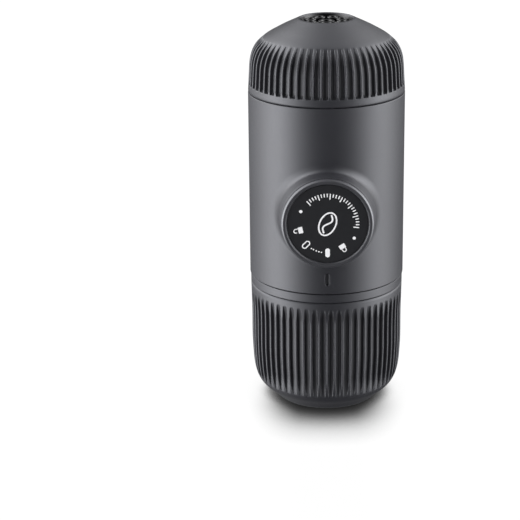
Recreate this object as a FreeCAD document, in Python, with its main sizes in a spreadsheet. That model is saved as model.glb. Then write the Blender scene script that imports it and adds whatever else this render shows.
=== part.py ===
import FreeCAD, Part
import Sketcher
import math
import os

# Handheld, hand-pumped espresso maker in its closed, stored state.
# +Z runs up the body from the drinking cup to the outlet head, and the piston
# knob faces -Y.  The origin is the centre of the cup's flat base.  Millimetres.

V = FreeCAD.Vector
doc = FreeCAD.newDocument("HandheldEspressoMaker")
sheet = doc.addObject("Spreadsheet::Sheet", "Dims")

DIMS = [
    ("body_radius", 30.8, "outside radius of the main body"),
    ("shell_bore", 28.3, "inside radius of the body shell"),
    ("body_bottom", 52.9, "lower edge of the body shell"),
    ("body_top", 127.1, "upper edge of the body shell"),
    ("knob_z", 84.4, "height of the piston axis"),
    ("knob_face", 39.9, "distance from the body axis to the knob's front"),
    ("knob_radius", 17.55, "outside radius of the knob ring"),
    ("boss_radius", 17.8, "outside radius of the piston boss at its rim"),
    ("boss_root", 21.1, "outside radius of the tapered boss where it leaves the body"),
    ("boss_start", 18.0, "distance from the body axis to the foot of the boss's taper"),
    ("boss_bore", 16.5, "bore of the piston boss"),
    ("boss_front", 37.6, "distance from the body axis to the boss's rim"),
    ("boss_fillet", 3.0, "blend of the boss into the body"),
    ("mark_height", 59.0, "height of the middle of the index mark"),
    ("mark_length", 5.0, "length of the index mark"),
    ("mark_width", 1.6, "width of the index mark"),
    ("mark_depth", 0.45, "depth of the index mark"),
    ("stroke", 12.0, "travel of the piston"),
    ("pump_bore", 7.0, "bore radius of the pump cylinder"),
    ("pump_outer", 10.5, "outside radius of the pump cylinder"),
    ("piston_radius", 6.85, "radius of the piston head"),
    ("port_y", 13.8, "offset of the valve tubes from the body axis"),
    ("port_radius", 1.8, "radius of the pump's ports"),
    ("valve_bore", 3.4, "radius of the valve chambers"),
    ("ball_radius", 2.2, "radius of the valve balls"),
    ("post_x", 15.6, "screw posts, half spacing along X"),
    ("post_y", 12.0, "screw posts, half spacing along Y"),
    ("post_radius", 2.6, "radius of the screw posts"),
    ("frame_radius", 28.25, "outside radius of the inner frame's two sockets"),
    ("flange_radius", 28.0, "radius of the pump housing's two flanges"),
    ("socket_floor", 64.0, "underside of the tank socket's ceiling"),
    ("socket_top", 66.8, "top of the tank socket"),
    ("chamber_bottom", 103.0, "underside of the brew chamber"),
    ("chamber_floor", 106.0, "floor of the brew chamber's well"),
    ("chamber_top", 126.8, "rim of the brew chamber"),
    ("well_radius", 22.6, "radius of the brew chamber's well"),
    ("head_root", 26.9, "root radius of the brew chamber's inner thread"),
    ("head_core", 25.2, "core radius of the portafilter's outer thread"),
    ("tank_root", 26.3, "root radius of the tank socket's inner thread"),
    ("tank_core", 24.6, "core radius of the tank's outer thread"),
    ("thread_lead", 12.0, "lead of both three-start threads"),
    ("thread_tall", 1.2, "height of a thread ridge"),
    ("thread_base", 2.4, "width of a thread ridge at its root"),
    ("thread_crest", 1.2, "width of a thread ridge at its crest"),
    ("cup_top", 49.0, "rim of the drinking cup"),
    ("cup_radius", 30.5, "outside radius of the cup's rim and of the grip ring"),
    ("cup_base", 19.84, "radius of the cup's flat base"),
    ("cup_floor", 2.4, "inside floor of the cup"),
    ("cup_bore", 28.45, "inside radius of the cup at its rim"),
    ("ring_bottom", 49.15, "lower edge of the tank's grip ring"),
    ("ring_top", 52.6, "upper edge of the tank's grip ring"),
    ("tank_outer", 27.6, "outside radius of the tank at its shoulder"),
    ("tank_bottom", 8.4, "underside of the tank"),
    ("tank_shoulder", 52.7, "shoulder of the tank"),
    ("tank_rim", 62.6, "rim of the tank's neck"),
    ("tank_neck", 22.9, "inside radius of the tank's neck"),
    ("basket_radius", 20.4, "outside radius of the filter basket"),
    ("basket_wall", 0.6, "sheet thickness of the filter basket"),
    ("basket_bottom", 106.6, "underside of the filter basket"),
    ("basket_rim", 123.9, "top of the filter basket's rim"),
    ("head_bottom", 127.3, "lower edge of the outlet head"),
    ("head_top", 156.0, "highest point of the outlet head"),
    ("outlet_hole", 10.35, "radius of the opening in the outlet head"),
    ("spout_radius", 10.25, "radius of the spout insert"),
    ("channel_radius", 2.0, "radius of the coffee channel"),
    ("flute_count", 60, "grip flutes round the cup and round the head"),
    ("flute_width", 1.9, "width of a grip flute"),
]


class Size:
    """A length together with the sheet formula that gives it."""

    def __init__(self, value, text, bound):
        self.value, self.text, self.bound = float(value), text, bound

    def mix(self, other, sign, value):
        o = size(other)
        return Size(value, "(%s %s %s)" % (self.text, sign, o.text), self.bound or o.bound)

    def __add__(self, o):
        return self.mix(o, "+", self.value + size(o).value)

    def __sub__(self, o):
        return self.mix(o, "-", self.value - size(o).value)

    def __mul__(self, o):
        return self.mix(o, "*", self.value * size(o).value)

    def __truediv__(self, o):
        return self.mix(o, "/", self.value / size(o).value)

    def __neg__(self):
        return Size(-self.value, "(0 - %s)" % self.text, self.bound)


def size(x):
    return x if isinstance(x, Size) else Size(x, "%.6f" % float(x), False)


D = {}
for row, (alias, value, note) in enumerate(DIMS, 1):
    sheet.set("A%d" % row, alias)
    sheet.set("B%d" % row, "%g" % value)
    sheet.set("C%d" % row, note)
    sheet.setAlias("B%d" % row, alias)
    D[alias] = Size(value, "Dims." + alias, True)
doc.recompute()

PARTS = []


def tie(obj, prop, value):
    """Give a property its value, bound to the sheet where the size comes from it."""
    s = size(value)
    if s.bound:
        obj.setExpression(prop, s.text)
    else:
        setattr(obj, prop, s.value)


def keep(obj, name):
    obj.Label = name
    PARTS.append((name, obj))
    return obj


def origin_plane(body, role):
    for o in body.Origin.OriginFeatures:
        if o.Role == role:
            return o


def new_body(name):
    return keep(doc.addObject("PartDesign::Body", name), name)


def new_sketch(body, name, role="XZ_Plane", offset=None):
    sk = body.newObject("Sketcher::SketchObject", name)
    sk.AttachmentSupport = [(origin_plane(body, role), "")]
    sk.MapMode = "FlatFace"
    if offset is not None:
        s = size(offset)
        sk.AttachmentOffset = FreeCAD.Placement(V(0, 0, s.value), FreeCAD.Rotation())
        if s.bound:
            sk.setExpression("AttachmentOffset.Base.z", s.text)
    return sk


def hold(sk, geo, pos, x, y):
    """Fix one sketch point by its two distances from the sketch's origin."""
    for kind, s, axis in (("DistanceX", size(x), -2), ("DistanceY", size(y), -1)):
        if abs(s.value) < 1e-9:
            sk.addConstraint(Sketcher.Constraint("PointOnObject", geo, pos, axis))
            continue
        if s.value > 0:
            c = Sketcher.Constraint(kind, -1, 1, geo, pos, s.value)
        else:
            c = Sketcher.Constraint(kind, geo, pos, -1, 1, -s.value)
        i = sk.addConstraint(c)
        if s.bound:
            sk.setExpression("Constraints[%d]" % i, s.text if s.value > 0 else "0 - %s" % s.text)


def outline(sk, items):
    """Closed outline.  A corner is (x, y); a list of points between two corners
    makes the edge between them a smooth curve through those points."""
    corners, curves = [], {}
    for it in items:
        if isinstance(it, list):
            curves[len(corners) - 1] = it
        else:
            corners.append(it)
    n, first = len(corners), sk.GeometryCount
    at = [V(size(x).value, size(y).value, 0) for x, y in corners]
    for i in range(n):
        a, b = at[i], at[(i + 1) % n]
        if i in curves:
            c = Part.BSplineCurve()
            c.interpolate([a] + [V(p[0], p[1], 0) for p in curves[i]] + [b])
            sk.addGeometry(c, False)
        else:
            sk.addGeometry(Part.LineSegment(a, b), False)
    for i in range(n):
        sk.addConstraint(Sketcher.Constraint("Coincident", first + i, 2, first + (i + 1) % n, 1))
    for i, (x, y) in enumerate(corners):
        hold(sk, first + i, 1, x, y)


def turn(body, name, items, kind="PartDesign::Revolution", degrees=360.0, mid=False):
    """Revolve an outline of (radius, height) about the body's own Z axis."""
    sk = new_sketch(body, name + "_outline")
    outline(sk, items)
    rev = body.newObject(kind, name)
    rev.Profile = sk
    rev.ReferenceAxis = (sk, ["V_Axis"])
    rev.Angle = degrees
    if mid:
        rev.Midplane = True
    return rev


def around(body, name, feature, count):
    z = origin_plane(body, "Z_Axis")
    pat = body.newObject("PartDesign::PolarPattern", name)
    pat.Originals = [feature]
    pat.Axis = (z, [""])
    pat.Angle = 360.0
    pat.Occurrences = count
    body.Tip = pat
    return pat


def thread(body, name, root, outward, start, turns):
    """Three-start ridge: root radius, direction, centre height at +X and turns."""
    way = 1.0 if outward else -1.0
    sk = new_sketch(body, name + "_ridge")
    crest = root + D["thread_tall"] * way
    half_b, half_c = D["thread_base"] / 2, D["thread_crest"] / 2
    back = root - 0.3 * way
    outline(
        sk,
        [
            (back, start - half_b),
            (root, start - half_b),
            (crest, start - half_c),
            (crest, start + half_c),
            (root, start + half_b),
            (back, start + half_b),
        ],
    )
    hx = body.newObject("PartDesign::AdditiveHelix", name)
    hx.Profile = sk
    hx.ReferenceAxis = (origin_plane(body, "Z_Axis"), [""])
    hx.Mode = 1
    hx.setExpression("Pitch", "Dims.thread_lead")
    hx.Turns = turns
    hx.LeftHanded = False
    hx.Reversed = False
    return around(body, name + "_starts", hx, 3)


def place(obj, x=0, y=0, z=0, rotation=None):
    """Put a sub-part at its place, with the place bound to the sheet."""
    sx, sy, sz = size(x), size(y), size(z)
    obj.Placement = FreeCAD.Placement(V(sx.value, sy.value, sz.value), rotation or FreeCAD.Rotation())
    for axis, s in (("x", sx), ("y", sy), ("z", sz)):
        if s.bound:
            obj.setExpression("Placement.Base." + axis, s.text)


# local +Z along the piston axis, out of the front of the body
FRONT = FreeCAD.Rotation(V(1, 0, 0), 90)


def on_piston_axis(obj, spin=0.0):
    place(obj, z=D["knob_z"], rotation=FRONT.multiply(FreeCAD.Rotation(V(0, 0, 1), spin)))


def cylinder(name, radius, height, x=0, y=0, z=0, rotation=None):
    c = doc.addObject("Part::Cylinder", name)
    tie(c, "Radius", radius)
    tie(c, "Height", height)
    place(c, x, y, z, rotation)
    return c


def cone(name, radius1, radius2, height, x=0, y=0, z=0, rotation=None):
    c = doc.addObject("Part::Cone", name)
    tie(c, "Radius1", radius1)
    tie(c, "Radius2", radius2)
    tie(c, "Height", height)
    place(c, x, y, z, rotation)
    return c


def fuse(name, shapes):
    f = doc.addObject("Part::MultiFuse", name)
    f.Shapes = shapes
    f.Refine = True
    return f


def cut(name, base, tools):
    c = doc.addObject("Part::Cut", name)
    c.Base = base
    c.Tool = tools[0] if len(tools) == 1 else fuse(name + "_tools", tools)
    return c


def flutes(body, name, floor, far):
    """Grip flutes: a slot whose floor follows the wall and rises out of it at
    both ends, cut across the outline at +X and patterned all round."""
    sk = new_sketch(body, name + "_side")
    ends = [floor[0], floor[-1]]
    outline(sk, [ends[0], floor[1:-1], ends[1], (far, ends[1][1]), (far, ends[0][1])])
    p = body.newObject("PartDesign::Pocket", name)
    p.Profile = sk
    p.Midplane = True
    p.setExpression("Length", "Dims.flute_width")
    pat = around(body, name + "_round", p, int(D["flute_count"].value))
    pat.setExpression("Occurrences", "Dims.flute_count")
    return pat


# ---------------------------------------------------------------- cup and tank

cup = new_body("cup")
turn(
    cup,
    "cup_wall",
    [
        (0, 0),
        (D["cup_base"], 0),
        [(21.82, 1.88), (23.81, 3.63), (25.79, 5.30), (27.78, 7.90), (29.26, 12.17), (30.06, 19.74), (30.25, 24.0), (30.32, 37.9)],
        (D["cup_radius"], D["cup_top"] - 0.4),
        (D["cup_radius"] - 0.4, D["cup_top"]),
        (D["cup_bore"] + 0.3, D["cup_top"]),
        (D["cup_bore"], D["cup_top"] - 0.3),
        [(28.4, 38.0), (28.1, 24.0), (27.8, 20.5), (27.0, 13.4), (25.9, 9.3), (24.0, 6.1), (21.6, 4.0)],
        (D["cup_base"] - 0.3, D["cup_floor"]),
        (0, D["cup_floor"]),
    ],
)

flutes(
    cup,
    "cup_flutes",
    [(30.65, 46.3), (30.0, 45.3), (29.55, 44.0), (29.42, 38.0), (29.36, 24.0), (29.16, 19.7), (28.42, 12.6), (27.7, 9.9), (27.9, 8.0)],
    33,
)
cup.Placement = FreeCAD.Placement(V(0, 0, 0), FreeCAD.Rotation(V(0, 0, 1), 3.0))

water_tank = new_body("water_tank")
turn(
    water_tank,
    "tank_wall",
    [
        (0, D["tank_bottom"]),
        (17.5, D["tank_bottom"]),
        [(21.0, 9.6), (24.0, 12.2), (25.8, 16.0), (26.9, 22.0), (27.4, 30.0), (27.55, 40.0)],
        (D["tank_outer"], D["ring_bottom"] - 0.4),
        (D["tank_outer"], D["tank_shoulder"]),
        (D["tank_core"], D["tank_shoulder"]),
        (D["tank_core"], D["tank_rim"] - 0.4),
        (D["tank_core"] - 0.4, D["tank_rim"]),
        (D["tank_neck"], D["tank_rim"]),
        (D["tank_neck"], D["tank_shoulder"] - 1.0),
        (D["tank_outer"] - 1.7, D["tank_shoulder"] - 4.5),
        [(25.75, 40.0), (25.6, 30.0), (25.1, 22.4), (24.1, 16.8), (22.6, 13.4), (20.1, 11.2)],
        (17.0, D["tank_bottom"] + 1.7),
        (0, D["tank_bottom"] + 1.7),
    ],
)
thread(water_tank, "tank_thread", D["tank_core"], True, size(54.6), 0.5)

tank_grip_ring = new_body("tank_grip_ring")
turn(
    tank_grip_ring,
    "grip_ring_wall",
    [
        (D["tank_outer"] + 0.05, D["ring_bottom"]),
        (D["cup_radius"] - 0.3, D["ring_bottom"]),
        (D["cup_radius"], D["ring_bottom"] + 0.3),
        (D["cup_radius"], D["ring_top"] - 0.3),
        (D["cup_radius"] - 0.3, D["ring_top"]),
        (D["tank_outer"] + 0.05, D["ring_top"]),
    ],
)

tank_gasket = new_body("tank_gasket")
turn(
    tank_gasket,
    "tank_gasket_ring",
    [
        (D["tank_neck"] + 0.05, D["tank_rim"] + 0.1),
        (25.6, D["tank_rim"] + 0.1),
        (25.6, D["socket_floor"] - 0.1),
        (D["tank_neck"] + 0.05, D["socket_floor"] - 0.1),
    ],
)

# ------------------------------------------------------------------ main body

# Cylindrical shell with the slightly tapered piston boss blended into its front,
# an index mark sunk under the boss, and one bore right through each.
shell_tube = cylinder("shell_tube", D["body_radius"], D["body_top"] - D["body_bottom"], z=D["body_bottom"])
shell_boss = cone(
    "shell_boss", D["boss_root"], D["boss_radius"], D["boss_front"] - D["boss_start"],
    y=-D["boss_start"], z=D["knob_z"], rotation=FRONT)
shell_blank = fuse("shell_blank", [shell_tube, shell_boss])
doc.recompute()
root_edges, rim_edges = [], []
taper = (D["boss_root"].value - D["boss_radius"].value) / (D["boss_front"].value - D["boss_start"].value)


def off_boss(p):
    """Distance of a point from the boss's tapered outside, square to the axis."""
    return abs(math.hypot(p.x, p.z - D["knob_z"].value) - D["boss_radius"].value - taper * (D["boss_front"].value + p.y))


for i, e in enumerate(shell_blank.Shape.Edges, 1):
    pts = e.discretize(9)
    on_boss = all(off_boss(p) < 0.02 for p in pts)
    on_tube = all(abs(math.hypot(p.x, p.y) - D["body_radius"].value) < 0.02 for p in pts)
    if on_boss and on_tube:
        root_edges.append(i)
    elif on_boss and all(abs(p.y + D["boss_front"].value) < 0.02 for p in pts):
        rim_edges.append(i)
    elif on_tube and (all(abs(p.z - D["body_top"].value) < 0.02 for p in pts) or all(abs(p.z - D["body_bottom"].value) < 0.02 for p in pts)):
        rim_edges.append(i)
shell_blend = doc.addObject("Part::Fillet", "shell_blend")
shell_blend.Base = shell_blank
shell_blend.Edges = [(i, D["boss_fillet"].value, D["boss_fillet"].value) for i in root_edges] + [(i, 0.3, 0.3) for i in rim_edges]
shell_hollow = cylinder("shell_hollow", D["shell_bore"], D["body_top"] - D["body_bottom"] + 2, z=D["body_bottom"] - 1)
shell_eye = cylinder("shell_eye", D["boss_bore"], 40, z=D["knob_z"], rotation=FRONT)
mark_bar = doc.addObject("Part::Box", "mark_bar")
tie(mark_bar, "Length", D["mark_width"])
tie(mark_bar, "Height", D["mark_length"] - D["mark_width"])
mark_bar.Width = 4
place(mark_bar, -(D["mark_width"] / 2), -(D["body_radius"] - D["mark_depth"] + 4), D["mark_height"] - (D["mark_length"] - D["mark_width"]) / 2)
mark_ends = [
    cylinder("mark_end_%d" % k, D["mark_width"] / 2, 4, y=-(D["body_radius"] - D["mark_depth"]), z=D["mark_height"] + (D["mark_length"] - D["mark_width"]) / 2 * k, rotation=FRONT)
    for k in (-1, 1)
]
body_shell = keep(cut("body_shell", shell_blend, [shell_hollow, shell_eye, mark_bar] + mark_ends), "body_shell")

# Socket at the bottom of the frame: the tank screws up into it.
tank_socket = new_body("tank_socket")
turn(
    tank_socket,
    "tank_socket_wall",
    [
        (0, D["socket_floor"]),
        (D["tank_root"], D["socket_floor"]),
        (D["tank_root"], D["body_bottom"] + 0.05),
        (D["frame_radius"], D["body_bottom"] + 0.05),
        (D["frame_radius"], D["socket_top"]),
        (0, D["socket_top"]),
    ],
)
thread(tank_socket, "tank_socket_thread", D["tank_root"], False, size(56.6), 0.4)


def circles(sk, spots):
    """Round holes at (x, y, radius), each held in place and size by the sheet."""
    for x, y, r in spots:
        g = sk.addGeometry(Part.Circle(V(size(x).value, size(y).value, 0), V(0, 0, 1), size(r).value), False)
        hold(sk, g, 3, x, y)
        i = sk.addConstraint(Sketcher.Constraint("Radius", g, size(r).value))
        if size(r).bound:
            sk.setExpression("Constraints[%d]" % i, size(r).text)


def holes(body, name, start, length, spots, up=True):
    """Cut round holes from the height start, over length, towards +Z or -Z."""
    sk = new_sketch(body, name + "_plan", "XY_Plane", start)
    circles(sk, spots)
    p = body.newObject("PartDesign::Pocket", name)
    p.Profile = sk
    tie(p, "Length", length)
    p.Reversed = up
    return p


CORNERS = [(D["post_x"], D["post_y"]), (-D["post_x"], D["post_y"]), (-D["post_x"], -D["post_y"]), (D["post_x"], -D["post_y"])]
holes(tank_socket, "socket_holes", D["socket_floor"], 2.8, [(x, y, 1.6) for x, y in CORNERS] + [(0, D["port_y"], 1.6), (0, -14.0, 2.0)])
holes(tank_socket, "socket_counterbores", D["socket_floor"], 1.6, [(x, y, 2.7) for x, y in CORNERS])

# Chamber at the top of the frame: the basket drops in and the head screws on.
brew_chamber = new_body("brew_chamber")
turn(
    brew_chamber,
    "chamber_wall",
    [
        (0, D["chamber_bottom"]),
        (D["frame_radius"], D["chamber_bottom"]),
        (D["frame_radius"], D["chamber_top"]),
        (D["head_root"] + 0.4, D["chamber_top"]),
        (D["head_root"], D["chamber_top"] - 0.4),
        (D["head_root"], 115.2),
        (D["well_radius"], 115.2),
        (D["well_radius"], D["chamber_floor"]),
        (0, D["chamber_floor"]),
    ],
)
thread(brew_chamber, "chamber_thread", D["head_root"], False, size(119.3), 0.45)
holes(brew_chamber, "chamber_holes", D["chamber_bottom"], 3.0, [(x, y, 1.6) for x, y in CORNERS] + [(0, D["port_y"], 1.5)])
holes(brew_chamber, "chamber_counterbores", D["chamber_floor"] - 1.6, 1.6, [(x, y, 2.7) for x, y in CORNERS])

# Pump housing: a spool of two flanges on four posts round the cross cylinder,
# with a valve tube below and above the cylinder's inner end.
cyl_back = 19.0
solids = [
    cylinder("housing_lower_flange", D["flange_radius"], 2.0, z=D["socket_top"]),
    cylinder("housing_upper_flange", D["flange_radius"], 2.4, z=D["chamber_bottom"] - 2.4),
    cylinder("housing_barrel", D["pump_outer"], 22 + cyl_back, y=cyl_back, z=D["knob_z"], rotation=FRONT),
    cylinder("housing_spring_seat", 13.1, 2.0, y=-19, z=D["knob_z"], rotation=FRONT),
    cylinder("housing_inlet_tube", 5.5, D["knob_z"] - D["socket_top"] - 8, y=D["port_y"], z=D["socket_top"]),
    cylinder("housing_outlet_tube", 5.5, D["chamber_bottom"] - D["knob_z"] - 8, y=D["port_y"], z=D["knob_z"] + 8),
]
for k, (x, y) in enumerate(CORNERS):
    solids.append(cylinder("housing_post_%d" % k, D["post_radius"], D["chamber_bottom"] - D["socket_top"], x=x, y=y, z=D["socket_top"]))
web = doc.addObject("Part::Box", "housing_web")
web.Length, web.Width = 3.0, 26.0
tie(web, "Height", D["chamber_bottom"] - D["socket_top"])
place(web, -1.5, -9.0, D["socket_top"])
solids.append(web)
housing_blank = fuse("housing_blank", solids)
tools = [
    cylinder("housing_bore", D["pump_bore"], 16 + 23, y=16, z=D["knob_z"], rotation=FRONT),
    cylinder("housing_port", D["port_radius"], D["chamber_bottom"] - D["socket_top"] - 12, y=D["port_y"], z=D["socket_top"] + 4),
    cylinder("housing_inlet_chamber", D["valve_bore"], 7.7, y=D["port_y"], z=D["socket_top"]),
    cylinder("housing_outlet_chamber", D["valve_bore"], 9.0, y=D["port_y"], z=D["chamber_bottom"] - 9),
    cylinder("housing_vent_hole", 3.4, 3.0, y=-14, z=D["socket_top"] - 0.5),
]
for k, (x, y) in enumerate(CORNERS):
    tools.append(cylinder("housing_pilot_low_%d" % k, 1.2, 9.5, x=x, y=y, z=D["socket_top"]))
    tools.append(cylinder("housing_pilot_high_%d" % k, 1.2, 9.5, x=x, y=y, z=D["chamber_bottom"] - 9.5))
for k, z in enumerate((D["socket_top"], D["chamber_bottom"] - 1.0)):
    groove = cut("housing_groove_%d" % k, cylinder("housing_groove_out_%d" % k, 5.4, 1.0, y=D["port_y"], z=z), [cylinder("housing_groove_in_%d" % k, 4.1, 1.0, y=D["port_y"], z=z)])
    tools.append(groove)
pump_housing = keep(cut("pump_housing", housing_blank, tools), "pump_housing")

port_seals = doc.addObject("Part::MultiFuse", "port_seals")
tori = []
for k, z in enumerate((D["socket_top"] + 0.5, D["chamber_bottom"] - 0.5)):
    t = doc.addObject("Part::Torus", "port_seal_%d" % k)
    t.Radius1, t.Radius2 = 4.75, 0.48
    place(t, 0, D["port_y"], z)
    tori.append(t)
port_seals.Shapes = tori
keep(port_seals, "port_seals")

# One-way valves in the two tubes.
inlet_seat = new_body("inlet_seat")
turn(
    inlet_seat,
    "inlet_seat_ring",
    [(1.6, 0), (D["valve_bore"] - 0.05, 0), (D["valve_bore"] - 0.05, 2.6), (2.1, 2.6), (1.6, 2.1)],
)
place(inlet_seat, 0, D["port_y"], D["socket_top"])

inlet_ball = keep(doc.addObject("Part::Sphere", "inlet_ball"), "inlet_ball")
tie(inlet_ball, "Radius", D["ball_radius"])
place(inlet_ball, 0, D["port_y"], D["socket_top"] + 4.2)

outlet_ball = keep(doc.addObject("Part::Sphere", "outlet_ball"), "outlet_ball")
tie(outlet_ball, "Radius", D["ball_radius"])
place(outlet_ball, 0, D["port_y"], D["chamber_bottom"] - 9 + 1.32)

outlet_retainer = new_body("outlet_retainer")
turn(
    outlet_retainer,
    "outlet_retainer_ring",
    [(1.5, 0), (D["valve_bore"] - 0.05, 0), (D["valve_bore"] - 0.05, 1.5), (1.5, 1.5)],
)
place(outlet_retainer, 0, D["port_y"], D["chamber_bottom"] - 1.5)


def coil(name, mean, wire, length, turns):
    """Open coil spring along its own +Z; its foot is at the origin."""
    body = new_body(name)
    sk = new_sketch(body, name + "_wire")
    g = sk.addGeometry(Part.Circle(V(mean, wire, 0), V(0, 0, 1), wire), False)
    hold(sk, g, 3, mean, wire)
    sk.addConstraint(Sketcher.Constraint("Radius", g, wire))
    hx = body.newObject("PartDesign::AdditiveHelix", name + "_coils")
    hx.Profile = sk
    hx.ReferenceAxis = (origin_plane(body, "Z_Axis"), [""])
    hx.Mode = 1
    hx.Pitch = (length - 2 * wire) / turns
    hx.Turns = turns
    return body


outlet_spring = coil("outlet_spring", 2.0, 0.28, 3.7, 4.0)
place(outlet_spring, 0, D["port_y"], D["chamber_bottom"] - 5.35)

inlet_strainer = new_body("inlet_strainer")
turn(
    inlet_strainer,
    "strainer_cap",
    [(0, 0), (4.2, 0), (4.2, 3.2), (5.0, 3.2), (5.0, 3.9), (3.6, 3.9), (3.6, 0.6), (0, 0.6)],
)
strainer_spots = [(0, 0, 0.4)] + [(2.2 * math.cos(a * math.pi / 3), 2.2 * math.sin(a * math.pi / 3), 0.4) for a in range(6)]
holes(inlet_strainer, "strainer_holes", 0, 0.6, strainer_spots)
place(inlet_strainer, 0, D["port_y"], D["socket_floor"] - 3.9)

vent_valve = new_body("vent_valve")
turn(
    vent_valve,
    "vent_duckbill",
    [(0, 0), (3.2, 0), (3.2, 1.0), (1.9, 1.0), (1.9, 4.2), (2.6, 4.3), (2.6, 4.9), (0.8, 8.0), (0, 8.0)],
)
place(vent_valve, 0, -14.0, D["socket_floor"] - 1.0)


def screw_set(name, z, up):
    """Four pan-head screws with a cross recess, heads at the height z."""
    way = FreeCAD.Rotation() if up else FreeCAD.Rotation(V(1, 0, 0), 180)
    out = []
    for k, (x, y) in enumerate(CORNERS):
        s = doc.addObject("Part::MultiFuse", "%s_%d" % (name, k))
        s.Shapes = [
            cylinder("%s_head_%d" % (name, k), 2.45, 1.4, x=x, y=y, z=z, rotation=way),
            cylinder("%s_shank_%d" % (name, k), 1.15, 9.8, x=x, y=y, z=z, rotation=way),
        ]
        slots = []
        for j in (0, 90):
            b = doc.addObject("Part::Box", "%s_slot_%d_%d" % (name, k, j))
            b.Length, b.Width, b.Height = 2.6, 0.6, 0.8
            c = V(size(x).value, size(y).value, size(z).value)
            r = way.multiply(FreeCAD.Rotation(V(0, 0, 1), j))
            b.Placement = FreeCAD.Placement(c, r).multiply(FreeCAD.Placement(V(-1.3, -0.3, 0), FreeCAD.Rotation()))
            slots.append(b)
        out.append(cut("%s_cut_%d" % (name, k), s, slots))
    f = doc.addObject("Part::MultiFuse", name)
    f.Shapes = out
    return keep(f, name)


lower_screws = screw_set("lower_screws", D["socket_floor"] + 0.2, True)
upper_screws = screw_set("upper_screws", D["chamber_floor"] - 0.2, False)

basket_seal = new_body("basket_seal")
turn(
    basket_seal,
    "basket_seal_ring",
    [(14.0, D["chamber_floor"]), (17.0, D["chamber_floor"]), (17.0, D["chamber_floor"] + 0.5), (14.0, D["chamber_floor"] + 0.5)],
)

# Lock collar in the boss: its three lugs ride in the windows of the knob core.
lock_collar = new_body("lock_collar")
turn(
    lock_collar,
    "collar_ring",
    [(15.35, 31.0), (D["boss_bore"] - 0.05, 31.0), (D["boss_bore"] - 0.05, D["boss_front"] - 0.2), (15.35, D["boss_front"] - 0.2)],
)
lug = turn(lock_collar, "collar_lug", [(14.3, 33.4), (15.6, 33.4), (15.6, 35.4), (14.3, 35.4)], degrees=10.0, mid=True)
around(lock_collar, "collar_lugs", lug, 3)
on_piston_axis(lock_collar, 22.5)

# --------------------------------------------------------------- piston, knob

piston_rod = new_body("piston_rod")
pr = D["piston_radius"]
turn(
    piston_rod,
    "rod_profile",
    [
        (0, -12.0),
        (pr - 0.4, -12.0),
        (pr, -11.6),
        (pr, -10.5),
        (5.9, -10.5),
        (5.9, -8.9),
        (pr, -8.9),
        (pr, -6.7),
        (5.9, -6.7),
        (5.9, -5.1),
        (pr, -5.1),
        (pr, -3.4),
        (4.2, -2.6),
        (4.2, 34.5),
        (13.1, 34.5),
        (13.1, 36.1),
        (3.0, 36.1),
        (3.0, 37.35),
        (1.3, 37.35),
        (1.3, 30.5),
        (0, 30.5),
    ],
)
on_piston_axis(piston_rod)

seals = []
for k, z in enumerate((-9.7, -5.9)):
    t = doc.addObject("Part::Torus", "piston_seal_%d" % k)
    t.Radius1, t.Radius2 = 6.45, 0.5
    t.Placement = FreeCAD.Placement(V(0, -z, D["knob_z"].value), FRONT)
    t.setExpression("Placement.Base.z", "Dims.knob_z")
    seals.append(t)
piston_seals = doc.addObject("Part::MultiFuse", "piston_seals")
piston_seals.Shapes = seals
keep(piston_seals, "piston_seals")

piston_spring = coil("piston_spring", 12.3, 0.6, 13.3, 6.0)
place(piston_spring, 0, -21.1, D["knob_z"], FRONT)

knob_screw = new_body("knob_screw")
turn(knob_screw, "knob_screw_body", [(0, 30.8), (1.25, 30.8), (1.25, 37.4), (4.4, 37.4), (4.4, 38.0), (4.1, 38.2), (0, 38.2)])
hexagon = new_sketch(knob_screw, "knob_screw_key", "XY_Plane", size(38.2))
hx = [V(1.2 * math.cos(a * math.pi / 3), 1.2 * math.sin(a * math.pi / 3), 0) for a in range(6)]
outline(hexagon, [(p.x, p.y) for p in hx])
key = knob_screw.newObject("PartDesign::Pocket", "knob_screw_socket")
key.Profile = hexagon
key.Length = 0.5
on_piston_axis(knob_screw)

# Black core of the knob: plate and skirt.  Each window in the skirt is as wide
# as the unlocking turn and as long as the stroke, so its ends are the stops.
knob_core = new_body("knob_core")
turn(
    knob_core,
    "core_profile",
    [
        (3.06, 36.2),
        (13.4, 36.2),
        (13.4, 20.0),
        (15.0, 20.0),
        (15.0, 37.9),
        (15.5, 37.9),
        (15.5, 38.3),
        (4.8, 38.3),
        (4.8, 37.3),
        (3.06, 37.3),
    ],
)
window = turn(
    knob_core,
    "core_window",
    [(14.1, 21.1), (15.6, 21.1), (15.6, 35.7), (14.1, 35.7)],
    kind="PartDesign::Groove",
    degrees=58.0,
    mid=True,
)
around(knob_core, "core_windows", window, 3)
on_piston_axis(knob_core)

knob_ring = new_body("knob_ring")
kf, kr = D["knob_face"], D["knob_radius"]
turn(
    knob_ring,
    "ring_profile",
    [
        (15.55, kf - 2.0),
        (kr, kf - 2.0),
        (kr, kf - 0.4),
        (kr - 0.4, kf),
        (16.2, kf),
        (16.0, kf - 0.2),
        (15.85, kf - 0.7),
        (15.55, kf - 0.75),
    ],
)
on_piston_axis(knob_ring)

knob_disc = new_body("knob_disc")
turn(knob_disc, "disc_profile", [(0, 38.32), (15.5, 38.32), (15.5, kf - 0.8), (15.3, kf - 0.65), (0, kf - 0.65)])
on_piston_axis(knob_disc)

# --------------------------------------------------------------- brewing head

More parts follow.
